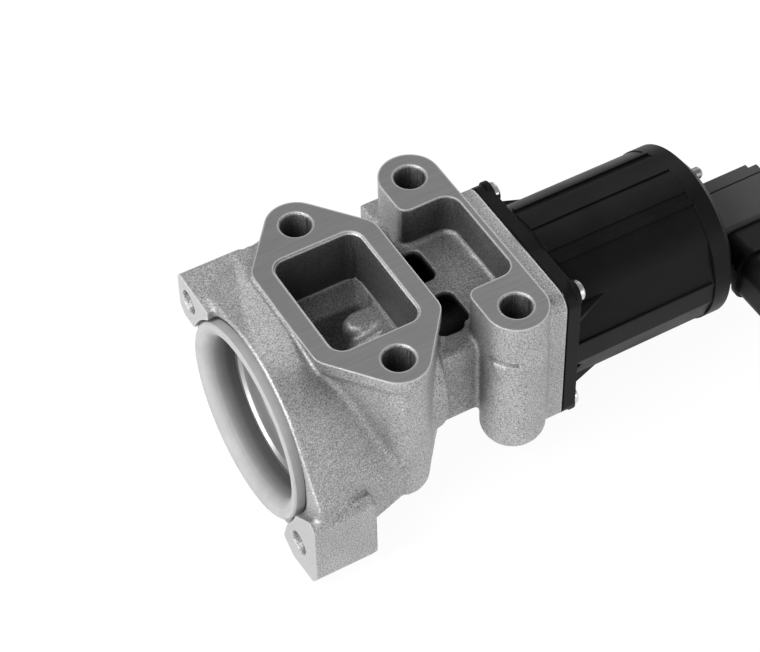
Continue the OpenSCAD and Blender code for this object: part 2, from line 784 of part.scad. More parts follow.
module screw_guide() {
    color([0.8, 0.78, 0.7]) difference() {
        xcyl(nut_r + 0.6, bulkhead_x, bulkhead_x + guide_t);
        difference() {
            xcyl(rod_r + running, bulkhead_x - over, bulkhead_x + bulkhead_t);
            translate([bulkhead_x - 2, -6, rod_r - rod_flat + running]) cube([8, 12, 3]);
        }
    }
}

module control_board() {
    color([0.05, 0.28, 0.14]) xtube(board_r, nut_r + 5.2, board_x, board_x + board_t);
}

// End cap

module end_cap() {
    x0 = band_x;
    color([0.05, 0.05, 0.055]) difference() {
        union() {
            xrev([[0, x0], [band_r, x0], [band_r, slope_x], [band_r - slope_r, cap_end], [0, cap_end]]);
            // Bearing carrier inside the cap
            xcyl(nut_r + 5, board_x - 3.6, x0 + over);
        }
        xtube(cavity_r - 0.6, nut_r + 5, board_x - over, x0 + 3.4);
        xcyl(nut_r + 3, board_x - 4, board_x - 0.2);
        xcyl(7, board_x - 0.3, board_x + 5);
        xcyl(rod_r + 0.6, board_x, cap_end - 1);
        for (a = [90, 210, 330]) rotate([a - 90, 0, 0]) xcyl(1.2, cap_end - 6, cap_end + over, 0, cap_screw_z);
        translate([cap_end - 5, -6, -9]) cube([6, 12, 2.4]);
    }
}

module end_screws() {
    color([0.5, 0.5, 0.51]) for (a = [90, 210, 330]) rotate([a - 90, 0, 0]) {
        xcyl(1.2, cap_end - 6, cap_end + 0.1, 0, cap_screw_z);
        xrev_at(0, cap_screw_z, [[0, cap_end], [1.8, cap_end], [1.8, cap_end + 2.2], [1.2, cap_end + 2.9],
            [0, cap_end + 2.9]]);
    }
}

module terminal_cover() {
    cy = cover_y0 + cover_w / 2;
    color([0.06, 0.06, 0.065]) difference() {
        union() {
            xext(cover_x0, cover_x1) translate([cy, cover_z - cover_h / 2])
                rounded(cover_w, cover_h, 1.2);
            translate([cover_x0, cy + cover_w / 2 - 1.8, cover_z - 6]) cube([cover_l - 3, 2.6, 6]);
        }
        // Line of the lid
        translate([cover_x0 - over, cy + cover_w / 2 - 4.1, cover_z - 0.5]) cube([cover_l + 2, 0.5, 2]);
        // Room for the terminals
        translate([cover_x0 - over, cy - cover_w / 2 + 2, cover_z - cover_h + 2.5])
            cube([cover_l - 2, cover_w - 4, cover_h - 5]);
        translate([hood_x - 10, cover_y0 - over, hood_z - 3]) cube([20, 4, 6]);
    }
}

module hood_outline(g) {
    rounded(hood_w + 2 * g, hood_h + 2 * g, hood_r + g);
}

module connector_shell() {
    y1 = cover_y0;
    color([0.06, 0.06, 0.065]) difference() {
        union() {
            translate([hood_x, y1, hood_z]) rotate([90, 0, 0])
                linear_extrude(height = hood_l) hood_outline(0);
            translate([hood_x, y1 - 9, hood_z]) rotate([90, 0, 0])
                linear_extrude(height = 1.8) hood_outline(1);
            translate([hood_x - 3, y1 - 21, hood_z + hood_h / 2 - 0.4]) cube([6, 7, 2.2]);
        }
        translate([hood_x, y1 - 4, hood_z]) rotate([90, 0, 0])
            linear_extrude(height = hood_l) hood_outline(-hood_wall);
        for (i = [0:pin_n - 1])
            translate([hood_x + (i - (pin_n - 1) / 2) * pin_pitch - 0.4, y1 - 6, hood_z - 0.4])
            cube([0.8, 8, 0.8]);
    }
}

module connector_pins() {
    y1 = cover_y0;
    color([0.78, 0.62, 0.25]) for (i = [0:pin_n - 1])
        translate([hood_x + (i - (pin_n - 1) / 2) * pin_pitch - 0.4, y1 - hood_l + 6, hood_z - 0.4])
        cube([0.8, hood_l - 2, 0.8]);
}

module connector_seal() {
    y1 = cover_y0;
    color([0.75, 0.3, 0.1]) translate([hood_x, y1 - 4.1, hood_z]) rotate([90, 0, 0])
        linear_extrude(height = 1.8) difference() {
            hood_outline(-hood_wall - 0.05);
            rounded(18, 3.2, 1.2);
        }
}

housing();
mouth_ring();
mouth_seal();
guide_bush();
shaft_seal();
spring_seat();
actuator_gasket();
valve_disc();
valve_shaft();
disc_collar();
return_spring();
spring_retainer();
retainer_clip();
actuator_housing();
screw_sleeves();
actuator_screws();
front_bearing();
rear_bearing();
stator_core();
stator_coils();
rotor_magnet();
rotor_nut();
lead_screw();
screw_guide();
control_board();
end_cap();
end_screws();
terminal_cover();
connector_shell();
connector_pins();
connector_seal();
wave_washer();
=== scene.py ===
"""Looks of an exhaust gas recirculation valve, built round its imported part."""
import math

import bmesh
import bpy
import numpy as np
from mathutils import Matrix, Vector

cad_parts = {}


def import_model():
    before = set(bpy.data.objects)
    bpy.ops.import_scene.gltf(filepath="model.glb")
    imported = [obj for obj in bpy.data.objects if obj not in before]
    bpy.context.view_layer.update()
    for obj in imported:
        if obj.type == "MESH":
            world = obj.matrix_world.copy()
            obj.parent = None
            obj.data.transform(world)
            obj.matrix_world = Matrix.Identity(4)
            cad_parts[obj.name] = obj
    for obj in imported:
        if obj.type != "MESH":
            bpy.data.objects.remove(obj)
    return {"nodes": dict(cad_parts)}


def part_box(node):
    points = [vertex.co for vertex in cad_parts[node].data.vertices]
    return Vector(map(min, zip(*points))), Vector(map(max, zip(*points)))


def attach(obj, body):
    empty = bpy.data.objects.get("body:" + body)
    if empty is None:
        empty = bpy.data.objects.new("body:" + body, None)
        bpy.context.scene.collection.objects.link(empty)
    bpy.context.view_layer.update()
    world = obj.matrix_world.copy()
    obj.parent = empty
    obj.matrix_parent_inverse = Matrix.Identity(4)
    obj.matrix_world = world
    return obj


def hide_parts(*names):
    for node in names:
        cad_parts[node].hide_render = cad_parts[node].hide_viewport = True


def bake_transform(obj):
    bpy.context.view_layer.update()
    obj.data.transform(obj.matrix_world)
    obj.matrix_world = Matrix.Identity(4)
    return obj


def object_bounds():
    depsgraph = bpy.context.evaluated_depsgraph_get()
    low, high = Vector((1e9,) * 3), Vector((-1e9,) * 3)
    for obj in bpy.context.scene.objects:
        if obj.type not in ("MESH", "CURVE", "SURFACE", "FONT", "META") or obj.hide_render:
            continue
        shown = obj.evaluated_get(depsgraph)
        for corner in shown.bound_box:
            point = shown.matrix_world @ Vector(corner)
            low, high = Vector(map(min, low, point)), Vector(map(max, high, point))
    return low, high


MM = 0.001
IMAGE_W = 760
IMAGE_H = 652

# Places on the casting, from the part's own driving sizes
BOLT_FACE = 28 * MM
BOLT_FACE_FRONT = 16.5 * MM
BOLT_X = (36.5 * MM, 73.5 * MM)
BOLT_Y = (-22.75 * MM, 34.75 * MM)
BOLT_PLACES = [(x, y) for x in BOLT_X for y in BOLT_Y]
LUG_PLACES = [(side * 30.08 * MM, side * 20.67 * MM) for side in (1, -1)]
PORT_MIDDLE = (36.5 * MM, 6 * MM)
PORT_SIZE = (26.8 * MM, 37.6 * MM)
PORT_FLOOR = 9 * MM
MOUTH_CUTS = ((30.6 * MM, 4.7 * MM), (26.3 * MM, 12 * MM))
WEDGE = ((61 * MM, -34.5 * MM, 3.5 * MM), (71 * MM, -25 * MM, 14.2 * MM))
SEAL_BORE = (17 * MM, 60 * MM)

# Parts of the casting that are lighter or darker than its open ground: painted shade in the port, neck
# hollow, pocket, bolt holes, wedge lip and lobe, and painted light on the chamber floor
LOBE = ((36 * MM, 3 * MM, -4 * MM), (50 * MM, 17 * MM, 9 * MM))
CHAMBER = ((13 * MM, -20 * MM, -20 * MM), (50 * MM, 26 * MM, 9 * MM))
NECK_HOLLOW = ((53 * MM, -15.2 * MM, -12.2 * MM), (72 * MM, 24.6 * MM, 12.6 * MM))
POCKET_WALLS = ((55 * MM, -12 * MM, 15 * MM), (82 * MM, 24.5 * MM, 27.3 * MM))
WEDGE_LIP = ((60.5 * MM, -35.5 * MM, 13.2 * MM), (69.5 * MM, -24 * MM, 14.3 * MM))
BELOW_FACE = BOLT_FACE - 0.7 * MM
PORT_WALL = 1 * MM
BOLT_HOLE = 4.8 * MM
PAINTED_SHADE_AND_LIGHT_SHARES = {"port": 0.38, "neck": 0.2, "chamber": 1.8, "pocket": 0.4, "holes": 0.45, "lip": 0.55,
          "lobe": 0.6}

# Noises: cells to the metre, detail, roughness and for one a stretch
GRAIN = (2300.0, 3.0, 0.7)
MOTTLE = (60.0, 5.0, 0.65)
PITS = (900.0, 2.0, 0.5)
CUT_LINES = (700.0, 2.0, 0.5, (0.12, 2.5, 1.0))
TURNED_RINGS = (2600.0, 3.0, 0.5)
TURNED_HAZE = (140.0, 3.0, 0.6)
MOULD_GRAIN = (2200.0, 3.0, 0.6)
MOULD_CLOUDS = (70.0, 4.0, 0.6)
PLATED_HAZE = (500.0, 3.0, 0.6)
NOISE_LOW = 0.3
NOISE_HIGH = 0.7

# Shares of a tone or a roughness, from the low to the high of a noise
TURNED_TONES = (0.92, 1.06)
TURNED_ROUGHNESS = (0.85, 1.2)
MOULD_TONES = (0.8, 1.25)
MOULD_ROUGHNESS = (0.88, 1.15)
PLATED_TONES = (0.86, 1.0)
PLATED_ROUGHNESS = (0.8, 1.3)

# Relief: height, strength and the radius that its edges are rounded by
CAST_RELIEF = (0.11 * MM, 0.9, 0.3 * MM)
TURNED_RELIEF = (0.012 * MM, 0.7, 0.25 * MM)
MOULD_RELIEF = (0.6, 0.3 * MM)
PLATED_RELIEF = (0.01 * MM, 0.5, 0.15 * MM)
RELIEF_SAMPLES = 4

# Finish of the casting: tones and roughness from the low to the high of a noise
CAST_TONES = (0.37, 0.46)
SPECK_TONES = [(0.34, 0.45), (0.5, 1.0), (0.66, 1.55)]
CAST_ROUGHNESS = (0.50, 0.62)
CUT_LINE_TONES = (0.94, 1.06)
# Machined tones: the lug faces get painted light, lighter than the bolt faces of the same machined finish
BOLT_FACE_TONE = 0.245
LUG_FACE_LIT_TONE = 0.5
CUT_ROUGHNESS = 0.6
CAST_METALLIC = 0.85

# Painted shade in the hollows, by the share of open sky, and bright edges, partly wear and partly a
# painted highlight, stronger higher up
HOLLOW_REACH = 16 * MM
HOLLOW_SHADE_TONES = [(0.4, 0.5), (0.95, 1.0)]
HOLLOW_SAMPLES = 4
EDGE_RADIUS = 0.9 * MM
EDGE_STOPS = [(0.006, 0.0), (0.07, 1.0)]
EDGE_BY_HEIGHT = [(0.4, 0.2), (0.9, 0.7)]
EDGE_WEAR_AND_HIGHLIGHT_TONE = 0.8
EDGE_SAMPLES = 6

# Painted shade on the mouth ring, darker by the share of its depth in from its front
RING_DEPTH = 10 * MM
RING_DEPTH_SHADE = [(0.05, 1.0), (0.3, 0.8), (0.52, 0.4), (0.75, 0.16)]

# Softening of the casting
VOXEL = 0.6 * MM
FACE_LIFT = 3 * MM
FILL_STEPS = 6
FILL_RATE = 0.9
WEAR_RATE = 0.2
STEP_LEVEL = 25 * MM
STEP_SHARE = 0.5
HELD_BOLT = 5.6 * MM
HELD_LUG = 4.4 * MM
CUT_MARGIN = 1.2 * MM
CUT_BOLT = 6 * MM
CUT_LUG = 4.6 * MM
CUT_LUG_DEPTH = 16 * MM
CAD_SLACK = 0.02 * MM
PLANE_SLACK = 0.03 * MM
ROD_SIDES = 64
FLAT = 0.9999
MERGE_REACH = 1e-7

# Turns in degrees past which an edge is shaded sharp
SHARP_ANGLE = 32
CAST_SHARP_ANGLE = 40

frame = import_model()
nodes = frame["nodes"]
cad_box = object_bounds()


# Node helpers

def add(tree, kind, inputs=None, **settings):
    """A new node with its settings and inputs; an input is a value or another node's socket."""
    node = tree.nodes.new(kind)
    for key, value in settings.items():
        setattr(node, key, value)
    for key, value in (inputs or {}).items():
        if isinstance(value, bpy.types.NodeSocket):
            tree.links.new(value, node.inputs[key])
        else:
            node.inputs[key].default_value = value
    return node


def blank(name):
    """A new material with its tree and its main shader."""
    made = bpy.data.materials.new(name)
    made.use_nodes = True
    return made, made.node_tree, made.node_tree.nodes["Principled BSDF"]


def own_place(tree):
    """Coordinates that stay with the object."""
    return add(tree, "ShaderNodeTexCoord").outputs["Object"]


def ramp(tree, factor, stops):
    """A colour ramp through (position, grey or colour) stops."""
    node = add(tree, "ShaderNodeValToRGB", {"Fac": factor})
    while len(node.color_ramp.elements) < len(stops):
        node.color_ramp.elements.new(0.5)
    for element, (at, tone) in zip(node.color_ramp.elements, stops):
        element.position = at
        element.color = (tone, tone, tone, 1) if isinstance(tone, float) else (*tone, 1)
    return node.outputs["Color"]


def between(tree, factor, shares, whole=1.0):
    """A low to a high share of a value or a colour, over the usual reach of a noise."""
    tones = [whole * share if isinstance(whole, float) else tuple(c * share for c in whole)
             for share in shares]
    return ramp(tree, factor, list(zip((NOISE_LOW, NOISE_HIGH), tones)))


def math_node(tree, what, a, b=0.0):
    """A sum, a test or the like of one or two values or sockets."""
    return add(tree, "ShaderNodeMath", {0: a, 1: b}, operation=what).outputs[0]


def noise(tree, place, scale, detail, rough, stretch=None):
    """A noise of so many cells to the metre."""
    if stretch:
        place = add(tree, "ShaderNodeMapping", {"Vector": place, "Scale": stretch}).outputs[0]
    return add(tree, "ShaderNodeTexNoise", {"Vector": place, "Scale": scale, "Detail": detail,
                                            "Roughness": rough}).outputs["Fac"]


def mix_colour(tree, factor, a, b, blend="MIX"):
    """Colour a turned to colour b by a factor; each is a value or a socket."""
    node = add(tree, "ShaderNodeMix", data_type="RGBA", blend_type=blend)
    for key, value in (("Factor", factor), ("A", a), ("B", b)):
        socket = next(s for s in node.inputs if s.name == key and s.enabled)
        if isinstance(value, bpy.types.NodeSocket):
            tree.links.new(value, socket)
        else:
            socket.default_value = value
    return next(s for s in node.outputs if s.enabled)


def multiply(tree, a, b):
    """The product of two colours."""
    return mix_colour(tree, 1.0, a, b, "MULTIPLY")


def bump(tree, shader, height, distance, strength, edge):
    """Relief from a height, over edges that are rounded by a radius."""
    soft = add(tree, "ShaderNodeBevel", {"Radius": edge}, samples=RELIEF_SAMPLES)
    node = add(tree, "ShaderNodeBump", {"Height": height, "Distance": distance, "Strength": strength,
                                        "Normal": soft.outputs[0]})
    tree.links.new(node.outputs[0], shader.inputs["Normal"])


def grey(value):
    """A grey of full cover."""
    return (value, value, value, 1.0)


# Materials

def inside(tree, axes, low, high):
    """1 inside a box in object coordinates and 0 outside it."""
    found = None
    for axis, start, end in zip("XYZ", low, high):
        over = math_node(tree, "GREATER_THAN", axes.outputs[axis], start)
        under = math_node(tree, "LESS_THAN", axes.outputs[axis], end)
        both = math_node(tree, "MULTIPLY", over, under)
        found = both if found is None else math_node(tree, "MULTIPLY", found, both)
    return found


def port_box(margin, top):
    """The port's space from its floor to a level, wider by a margin all round."""
    half = Vector((PORT_SIZE[0] / 2 + margin, PORT_SIZE[1] / 2 + margin, 0))
    middle = Vector((*PORT_MIDDLE, 0))
    return middle - half + Vector((0, 0, PORT_FLOOR)), middle + half + Vector((0, 0, top))


def near_bolts(tree, axes, radius):
    """1 inside the four bolt holes, below their machined rim."""
    below = math_node(tree, "LESS_THAN", axes.outputs["Z"], BELOW_FACE)
    nearest = []
    for axis, values in (("X", BOLT_X), ("Y", BOLT_Y)):
        away = [math_node(tree, "ABSOLUTE", math_node(tree, "SUBTRACT", axes.outputs[axis], value))
                for value in values]
        nearest.append(math_node(tree, "MINIMUM", *away))
    across = add(tree, "ShaderNodeCombineXYZ", {0: nearest[0], 1: nearest[1]})
    away = add(tree, "ShaderNodeVectorMath", {0: across.outputs[0]}, operation="LENGTH").outputs["Value"]
    return math_node(tree, "MULTIPLY", below, math_node(tree, "LESS_THAN", away, radius))


def edge_mask(tree, radius, stops):
    """0 on open ground and 1 on edges, by how far the rounded normal leaves the true one."""
    soft = add(tree, "ShaderNodeBevel", {"Radius": radius}, samples=EDGE_SAMPLES).outputs[0]
    true = add(tree, "ShaderNodeNewGeometry").outputs["Normal"]
    along = add(tree, "ShaderNodeVectorMath", {0: soft, 1: true}, operation="DOT_PRODUCT").outputs["Value"]
    return ramp(tree, math_node(tree, "SUBTRACT", 1.0, along), stops)


def machined_masks(tree, axes, box):
    """1 on the bolt faces and lug faces, and 1 on the lug faces alone."""
    level = math_node(tree, "ABSOLUTE", math_node(tree, "SUBTRACT", axes.outputs["Z"], BOLT_FACE))
    top = math_node(tree, "LESS_THAN", level, PLANE_SLACK)
    behind = math_node(tree, "GREATER_THAN", axes.outputs["X"], BOLT_FACE_FRONT)
    top = math_node(tree, "MULTIPLY", top, behind)
    front = math_node(tree, "LESS_THAN", axes.outputs["X"], box[0].x + PLANE_SLACK)
    return math_node(tree, "MAXIMUM", top, front), front


def worn_and_highlit_edges(tree, axes, colour, spared):
    """The colour with bright edges, partly wear and partly a painted highlight, stronger higher up, but
    not in the spared regions.
    """
    wear_and_highlight = edge_mask(tree, EDGE_RADIUS, EDGE_STOPS)
    height = math_node(tree, "DIVIDE", axes.outputs["Z"], BOLT_FACE)
    wear_and_highlight = math_node(tree, "MULTIPLY", wear_and_highlight, ramp(tree, height, EDGE_BY_HEIGHT))
    for region in spared:
        wear_and_highlight = math_node(tree, "MULTIPLY", wear_and_highlight, math_node(tree, "SUBTRACT", 1.0, region))
    return mix_colour(tree, wear_and_highlight, colour, grey(EDGE_WEAR_AND_HIGHLIGHT_TONE))


def painted_shade_and_light_regions(tree, axes):
    """1 inside each part of the casting that gets painted shade, and inside the chamber floor that gets
    painted light.
    """
    return {"port": inside(tree, axes, *port_box(PORT_WALL, BELOW_FACE)),
            "neck": inside(tree, axes, *NECK_HOLLOW),
            "chamber": inside(tree, axes, *CHAMBER),
            "pocket": inside(tree, axes, *POCKET_WALLS),
            "holes": near_bolts(tree, axes, BOLT_HOLE),
            "lip": inside(tree, axes, *WEDGE_LIP),
            "lobe": inside(tree, axes, *LOBE)}


def cast_aluminium(box):
    """Blasted casting, with smoother machined faces at the bolt faces and the lug faces."""
    made, tree, shader = blank("cast_aluminium")
    place = own_place(tree)
    axes = add(tree, "ShaderNodeSeparateXYZ", {0: place})
    machined, front = machined_masks(tree, axes, box)
    grain = noise(tree, place, *GRAIN)
    mottle = noise(tree, place, *MOTTLE)
    pits = noise(tree, place, *PITS)
    cut_lines = noise(tree, place, *CUT_LINES)
    cast = multiply(tree, between(tree, mottle, CAST_TONES), ramp(tree, grain, SPECK_TONES))
    # Painted light: the lug faces lighter than the bolt faces
    cut_tone = mix_colour(tree, front, grey(BOLT_FACE_TONE), grey(LUG_FACE_LIT_TONE))
    cut = multiply(tree, cut_tone, between(tree, cut_lines, CUT_LINE_TONES))
    colour = mix_colour(tree, machined, cast, cut)
    painted_regions = painted_shade_and_light_regions(tree, axes)
    # Painted shade darkens the port, neck hollow, pocket, bolt holes, wedge lip and lobe; painted light
    # brightens the chamber floor
    for name, region in painted_regions.items():
        colour = mix_colour(tree, region, colour, multiply(tree, colour, grey(PAINTED_SHADE_AND_LIGHT_SHARES[name])))
    # Painted shade: darker where less open sky reaches the hollows
    sky = add(tree, "ShaderNodeAmbientOcclusion", {"Distance": HOLLOW_REACH}, samples=HOLLOW_SAMPLES,
              only_local=True)
    colour = multiply(tree, colour, ramp(tree, sky.outputs["AO"], HOLLOW_SHADE_TONES))
    colour = worn_and_highlit_edges(tree, axes, colour, (painted_regions["chamber"], painted_regions["lip"]))
    tree.links.new(colour, shader.inputs["Base Color"])
    shader.inputs["Metallic"].default_value = CAST_METALLIC
    rough = mix_colour(tree, machined, between(tree, pits, CAST_ROUGHNESS), grey(CUT_ROUGHNESS))
    tree.links.new(rough, shader.inputs["Roughness"])
    height = math_node(tree, "MULTIPLY", grain, math_node(tree, "SUBTRACT", 1.0, machined))
    bump(tree, shader, height, *CAST_RELIEF)
    return made


def turned_steel(name, tone, rough, metallic=0.9, depth_shade=None):
    """Turned metal with fine rings round the valve axis, and painted shade that can darken it along the
    axis.
    """
    made, tree, shader = blank(name)
    place = own_place(tree)
    axes = add(tree, "ShaderNodeSeparateXYZ", {0: place})
    yy = math_node(tree, "MULTIPLY", axes.outputs["Y"], axes.outputs["Y"])
    zz = math_node(tree, "MULTIPLY", axes.outputs["Z"], axes.outputs["Z"])
    radius = math_node(tree, "SQRT", math_node(tree, "ADD", yy, zz))
    line = add(tree, "ShaderNodeCombineXYZ", {0: radius, 1: axes.outputs["X"], 2: 0.0})
    rings = noise(tree, line.outputs[0], *TURNED_RINGS)
    haze = noise(tree, place, *TURNED_HAZE)
    colour = between(tree, haze, TURNED_TONES, tone)
    if depth_shade:
        # Painted shade, darker deeper into the throat
        depth = math_node(tree, "DIVIDE", axes.outputs["X"], RING_DEPTH)
        colour = multiply(tree, colour, ramp(tree, depth, depth_shade))
    tree.links.new(colour, shader.inputs["Base Color"])
    shader.inputs["Metallic"].default_value = metallic
    tree.links.new(between(tree, rings, TURNED_ROUGHNESS, rough), shader.inputs["Roughness"])
    bump(tree, shader, rings, *TURNED_RELIEF)
    return made


def moulded(name, colour, rough, grain=0.03, metallic=0.0, shine=0.5):
    """Moulded plastic or rubber with a fine grain."""
    made, tree, shader = blank(name)
    place = own_place(tree)
    fine = noise(tree, place, *MOULD_GRAIN)
    wide = noise(tree, place, *MOULD_CLOUDS)
    tree.links.new(between(tree, wide, MOULD_TONES, colour), shader.inputs["Base Color"])
    tree.links.new(between(tree, wide, MOULD_ROUGHNESS, rough), shader.inputs["Roughness"])
    shader.inputs["Metallic"].default_value = metallic
    shader.inputs["Specular IOR Level"].default_value = shine
    bump(tree, shader, fine, grain * MM, *MOULD_RELIEF)
    return made


def bright_metal(name, colour, rough):
    """Plated or turned small metal piece with a little haze."""
    made, tree, shader = blank(name)
    place = own_place(tree)
    haze = noise(tree, place, *PLATED_HAZE)
    tree.links.new(between(tree, haze, PLATED_TONES, colour), shader.inputs["Base Color"])
    tree.links.new(between(tree, haze, PLATED_ROUGHNESS, rough), shader.inputs["Roughness"])
    shader.inputs["Metallic"].default_value = 1.0
    bump(tree, shader, haze, *PLATED_RELIEF)
    return made


# Cast body with filled creases and worn edges

def raw_object(name, mesh):
    """A new object in the scene round a mesh."""
    made = bpy.data.objects.new(name, mesh)
    bpy.context.scene.collection.objects.link(made)
    return made


def baked(source, name):
    """The source's mesh with its modifiers applied; the source itself goes."""
    state = source.evaluated_get(bpy.context.evaluated_depsgraph_get())
    mesh = bpy.data.meshes.new_from_object(state)
    mesh.name = name
    bpy.data.objects.remove(source)
    return mesh


def merged(mesh):
    """A copy of the mesh with its doubled points joined."""
    grid = bmesh.new()
    grid.from_mesh(mesh)
    bmesh.ops.remove_doubles(grid, verts=grid.verts, dist=MERGE_REACH)
    made = bpy.data.meshes.new("merged")
    grid.to_mesh(made)
    grid.free()
    return made


def points_of(mesh):
    """The mesh's points, one to a row."""
    points = np.empty(len(mesh.vertices) * 3, np.float32)
    mesh.vertices.foreach_get("co", points)
    return points.reshape(-1, 3).astype(float)


def set_points(mesh, points):
    """The mesh's points moved to new places."""
    mesh.vertices.foreach_set("co", points.astype(np.float32).ravel())
    mesh.update()


def solid(name, build):
    """A mesh that a function builds in an empty form."""
    grid = bmesh.new()
    build(grid)
    mesh = bpy.data.meshes.new(name)
    grid.to_mesh(mesh)
    grid.free()
    return mesh


def block(low, high):
    """A box between two corners."""
    middle = Matrix.Translation((Vector(low) + Vector(high)) / 2)
    size = Matrix.Diagonal((*(Vector(high) - Vector(low)), 1))
    return solid("block", lambda grid: bmesh.ops.create_cube(grid, size=1, matrix=middle @ size))


def rod(low, high, radius):
    """A cylinder between two points."""
    way = Vector(high) - Vector(low)
    turn = way.to_track_quat("Z", "Y").to_matrix().to_4x4()
    place = Matrix.Translation((Vector(low) + Vector(high)) / 2) @ turn
    return solid("rod", lambda grid: bmesh.ops.create_cone(
        grid, cap_ends=True, segments=ROD_SIDES, radius1=radius, radius2=radius, depth=way.length,
        matrix=place))


def cut(base, cutter):
    """The base mesh less another mesh."""
    body = raw_object("base", base)
    tool = raw_object("cutter", cutter)
    step = body.modifiers.new("cut", "BOOLEAN")
    step.operation = "DIFFERENCE"
    step.solver = "MANIFOLD"
    step.object = tool
    made = baked(body, "cut")
    bpy.data.objects.remove(tool)
    return made


def machined_zones(box):
    """Blocks and rods round the surfaces that are cut after casting."""
    low, high = box
    far = 2 * FACE_LIFT
    below = low - Vector((far, far, far))
    above = high + Vector((far, far, far))
    zones = [block((BOLT_FACE_FRONT, below.y, BOLT_FACE), (above.x, above.y, BOLT_FACE + far)),
             block(below, (low.x, above.y, above.z)),
             block((high.x, below.y, below.z), above)]
    zones += [rod((x, y, below.z), (x, y, BOLT_FACE + far), CUT_BOLT) for x, y in BOLT_PLACES]
    zones.append(block(*port_box(CUT_MARGIN, BOLT_FACE + far)))
    zones += [rod((below.x, y, z), (low.x + CUT_LUG_DEPTH, y, z), CUT_LUG) for y, z in LUG_PLACES]
    zones += [rod((below.x, 0, 0), (end, 0, 0), radius) for radius, end in MOUTH_CUTS]
    return zones


def flow(mesh, free):
    """Curvature flow that fills the creases fast and wears the edges slowly."""
    points = points_of(mesh)
    count = len(points)
    edges = np.empty(len(mesh.edges) * 2, np.int32)
    mesh.edges.foreach_get("vertices", edges)
    edges = edges.reshape(-1, 2)
    ends = np.concatenate([edges[:, 0], edges[:, 1]])
    others = np.concatenate([edges[:, 1], edges[:, 0]])
    degree = np.maximum(np.bincount(ends, minlength=count), 1)[:, None]
    for _ in range(FILL_STEPS):
        normals = np.empty(count * 3, np.float32)
        mesh.vertices.foreach_get("normal", normals)
        normals = normals.reshape(-1, 3)
        mean = np.stack([np.bincount(ends, points[others, k], count) for k in range(3)], 1) / degree
        move = mean - points
        outward = (move * normals).sum(1)
        rate = np.where(outward > 0, FILL_RATE, WEAR_RATE) * free
        points = points + move * rate[:, None]
        set_points(mesh, points)


def near_rod(points, axis, at, radius):
    """True for the points within a radius of a line along an axis."""
    flat = np.delete(points, axis, 1) - np.array(at)
    return (flat ** 2).sum(1) < radius ** 2


def faces_out(mesh, low, high):
    """A copy of the mesh with its machined planes pushed out."""
    made = mesh.copy()
    points = points_of(made)
    face = (abs(points[:, 2] - BOLT_FACE) < CAD_SLACK) & (points[:, 0] > BOLT_FACE_FRONT)
    points[face, 2] += FACE_LIFT
    points[points[:, 0] > high.x - CAD_SLACK, 0] += FACE_LIFT
    points[points[:, 0] < low.x + CAD_SLACK, 0] -= FACE_LIFT
    set_points(made, points)
    return made


def freedom(points):
    """How freely each point flows: not at all round the bores and the wedge, and less near the step."""
    radius, start = SEAL_BORE
    held = near_rod(points, 0, (0, 0), radius) & (points[:, 0] > start)
    for place in BOLT_PLACES:
        held |= near_rod(points, 2, place, HELD_BOLT)
    for place in LUG_PLACES:
        held |= near_rod(points, 0, place, HELD_LUG)
    held |= ((points > np.array(WEDGE[0])) & (points < np.array(WEDGE[1]))).all(1)
    return np.where(held, 0.0, np.where(points[:, 2] > STEP_LEVEL, STEP_SHARE, 1.0))


def cast_body():
    """The housing as cast: soft creases and edges, with the machined surfaces cut crisp again."""
    low, high = (Vector(v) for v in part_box("housing"))
    exact = merged(nodes["housing"].data)
    body = raw_object("rough", faces_out(exact, low, high))
    grid = body.modifiers.new("grid", "REMESH")
    grid.mode = "VOXEL"
    grid.voxel_size = VOXEL
    mesh = baked(body, "cast")
    flow(mesh, freedom(points_of(mesh)))
    for zone in machined_zones((low, high)):
        mesh = cut(mesh, cut(zone, exact.copy()))
    piece = raw_object("cast_housing", mesh)
    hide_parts("housing")
    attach(piece, "valve_body")
    return piece


def live_spring():
    """The return spring between the plate and its cup, copied in place of the imported one, which is
    hidden.
    """
    source = nodes["return_spring"]
    piece = raw_object("squeezed_spring", source.data.copy())
    piece.matrix_world = source.matrix_world
    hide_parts("return_spring")
    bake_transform(piece)
    return piece


def paint(made, *names):
    """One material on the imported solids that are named."""
    for name in names:
        mesh = nodes[name].data
        mesh.materials.clear()
        mesh.materials.append(made)


def shade(target, angle=SHARP_ANGLE):
    """Smooth shading with sharp edges past an angle."""
    target.data.polygons.foreach_set("use_smooth", [True] * len(target.data.polygons))
    target.data.set_sharp_from_angle(angle=math.radians(angle))


def crisp_faces(mesh, box):
    """Flat shading for the faces that lie in a machined plane."""
    for face in mesh.polygons:
        at = face.center
        top = abs(at.z - BOLT_FACE) < PLANE_SLACK and at.x > BOLT_FACE_FRONT and face.normal.z > FLAT
        end = min(at.x - box[0].x, box[1].x - at.x) < PLANE_SLACK and abs(face.normal.x) > FLAT
        if top or end:
            face.use_smooth = False


